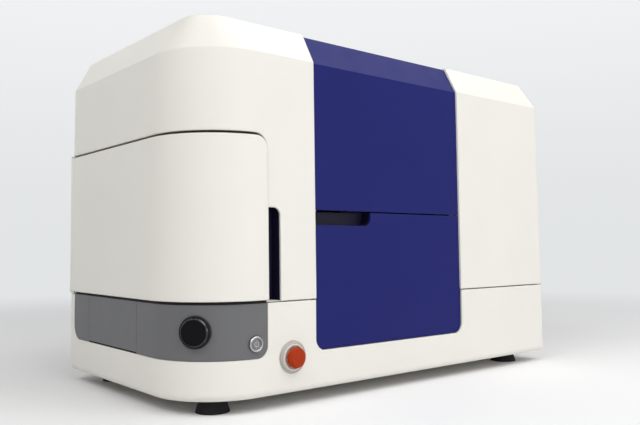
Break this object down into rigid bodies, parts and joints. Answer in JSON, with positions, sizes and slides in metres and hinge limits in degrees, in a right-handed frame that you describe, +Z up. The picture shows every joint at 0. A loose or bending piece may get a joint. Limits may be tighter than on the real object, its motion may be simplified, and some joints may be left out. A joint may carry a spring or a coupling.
{
  "type": "flow cytometer",
  "caption": "Bench-top flow cytometer with a wrap-around left door, a lift-up blue door over the optics, a plate drawer, a rotary knob and stop button.",
  "frame": {"origin": "on the bench under the middle of the overall box", "axes": "+Z up, -Y the front with the blue centre, -X the side with the plate drawer"},
  "size_m": [0.932, 0.5164, 0.642],
  "materials": {
    "white_cover": "moulded polyurethane, satin light texture",
    "blue_panel": "satin blue paint",
    "grey_trim": "satin grey",
    "dark_cup": "dark blue inner moulding",
    "black_plastic": "fine-textured black",
    "black_rubber": "matt black rubber",
    "knob_black": "polished black",
    "steel": "brushed stainless steel",
    "button_grey": "grey cap",
    "red_cap": "glossy red",
    "collar": "pale collar",
    "aluminium": "clear anodised",
    "black_anodised": "black anodised",
    "sheet_metal": "light grey powder coat",
    "clear_plastic": "clear moulded",
    "glass": "clear glass",
    "bottle_cap": "blue ribbed cap",
    "board": "green solder mask",
    "magnet": "nickel plated"
  },
  "bodies": {
    "housing": {"base_housing": "white_cover", "left_cover": "white_cover", "right_cover": "white_cover", "centre_top_cover": "blue_panel", "lower_front_panel": "blue_panel", "handle_recess_cup": "dark_cup", "finger_recess_cup": "dark_cup", "feet": "black_rubber", "lift_hinge_fixed_leaf": "steel", "hinge_pins": "steel", "door_hinge_brackets": "steel", "door_magnets": "magnet", "trim_front_panel": "grey_trim", "trim_rear_panel": "grey_trim", "drawer_rails": "steel", "knob_bezel": "black_plastic", "knob_encoder": "black_plastic", "power_button_ring": "steel", "stop_button_collar": "collar", "stop_button_body": "black_plastic", "chassis_plate": "aluminium", "bulkhead_left": "sheet_metal", "bulkhead_right": "sheet_metal", "rear_posts": "aluminium", "left_bay_liner": "sheet_metal", "optics_deck": "black_anodised", "chip_stage": "aluminium", "chip_cartridge": "clear_plastic", "optics_bridge": "black_anodised", "objective_lens": "steel", "laser_module": "black_anodised", "light_detectors": "black_anodised", "syringe_pumps": "aluminium", "syringe_barrels": "glass", "bottle_rack": "black_plastic", "reagent_bottles": "glass", "bottle_caps": "bottle_cap", "power_supply": "sheet_metal", "control_board": "board", "rear_panel": "sheet_metal", "fan_frames": "black_plastic", "fan_guards": "black_plastic", "power_inlet": "black_plastic", "data_ports": "steel"},
    "left_door": {"left_door": "white_cover"},
    "lift_door": {"lift_door": "blue_panel", "lift_hinge_door_leaf": "steel"},
    "plate_drawer": {"drawer_front": "grey_trim", "drawer_tray": "black_anodised", "microplate": "clear_plastic"},
    "control_knob": {"control_knob": "knob_black", "knob_shaft": "steel"},
    "power_button": {"power_button_cap": "button_grey"},
    "stop_plunger": {"stop_button_stem": "steel"},
    "stop_cap": {"stop_button_cap": "red_cap"},
    "syringe_plunger_front": {"syringe_plunger_front": "steel"},
    "syringe_plunger_rear": {"syringe_plunger_rear": "steel"},
    "fan_rotor_left": {"fan_rotor_left": "black_plastic"},
    "fan_rotor_right": {"fan_rotor_right": "black_plastic"},
    "power_switch": {"power_switch_rocker": "black_plastic"}
  },
  "joints": [
    {"name": "left_door_hinge", "type": "hinge", "parent": "housing", "child": "left_door", "pos_m": [-0.4615, 0.23725, 0.31], "axis": [0, 0, -1], "range_deg": [0, 110]},
    {"name": "lift_door_hinge", "type": "hinge", "parent": "housing", "child": "lift_door", "pos_m": [-0.025, -0.17675, 0.6385], "axis": [-1, 0, 0], "range_deg": [0, 85]},
    {"name": "plate_drawer_slide", "type": "slide", "parent": "housing", "child": "plate_drawer", "axis": [-1, 0, 0], "range_m": [0, 0.13]},
    {"name": "control_knob_turn", "type": "hinge", "parent": "housing", "child": "control_knob", "pos_m": [-0.43015, -0.20072, 0.132], "axis": [0.7431, 0.6691, 0], "continuous": true},
    {"name": "power_button_press", "type": "slide", "parent": "housing", "child": "power_button", "axis": [0, 1, 0], "range_m": [0, 0.0018], "stiffness_N_per_m": 600},
    {"name": "stop_button_press", "type": "slide", "parent": "housing", "child": "stop_plunger", "axis": [0, 1, 0], "range_m": [0, 0.004], "stiffness_N_per_m": 800},
    {"name": "stop_button_release_turn", "type": "hinge", "parent": "stop_plunger", "child": "stop_cap", "pos_m": [-0.27, -0.24175, 0.082], "axis": [0, 1, 0], "range_deg": [0, 45], "stiffness_Nm_per_rad": 0.05},
    {"name": "syringe_plunger_front_slide", "type": "slide", "parent": "housing", "child": "syringe_plunger_front", "axis": [0, 0, 1], "range_m": [0, 0.03]},
    {"name": "syringe_plunger_rear_slide", "type": "slide", "parent": "housing", "child": "syringe_plunger_rear", "axis": [0, 0, 1], "range_m": [0, 0.03]},
    {"name": "fan_rotor_left_spin", "type": "hinge", "parent": "housing", "child": "fan_rotor_left", "pos_m": [-0.1, 0.23, 0.44], "axis": [0, 1, 0], "continuous": true},
    {"name": "fan_rotor_right_spin", "type": "hinge", "parent": "housing", "child": "fan_rotor_right", "pos_m": [0.05, 0.23, 0.44], "axis": [0, 1, 0], "continuous": true},
    {"name": "power_switch_rock", "type": "hinge", "parent": "housing", "child": "power_switch", "pos_m": [0.376, 0.24225, 0.141], "axis": [1, 0, 0], "range_deg": [0, 14]}
  ]
}
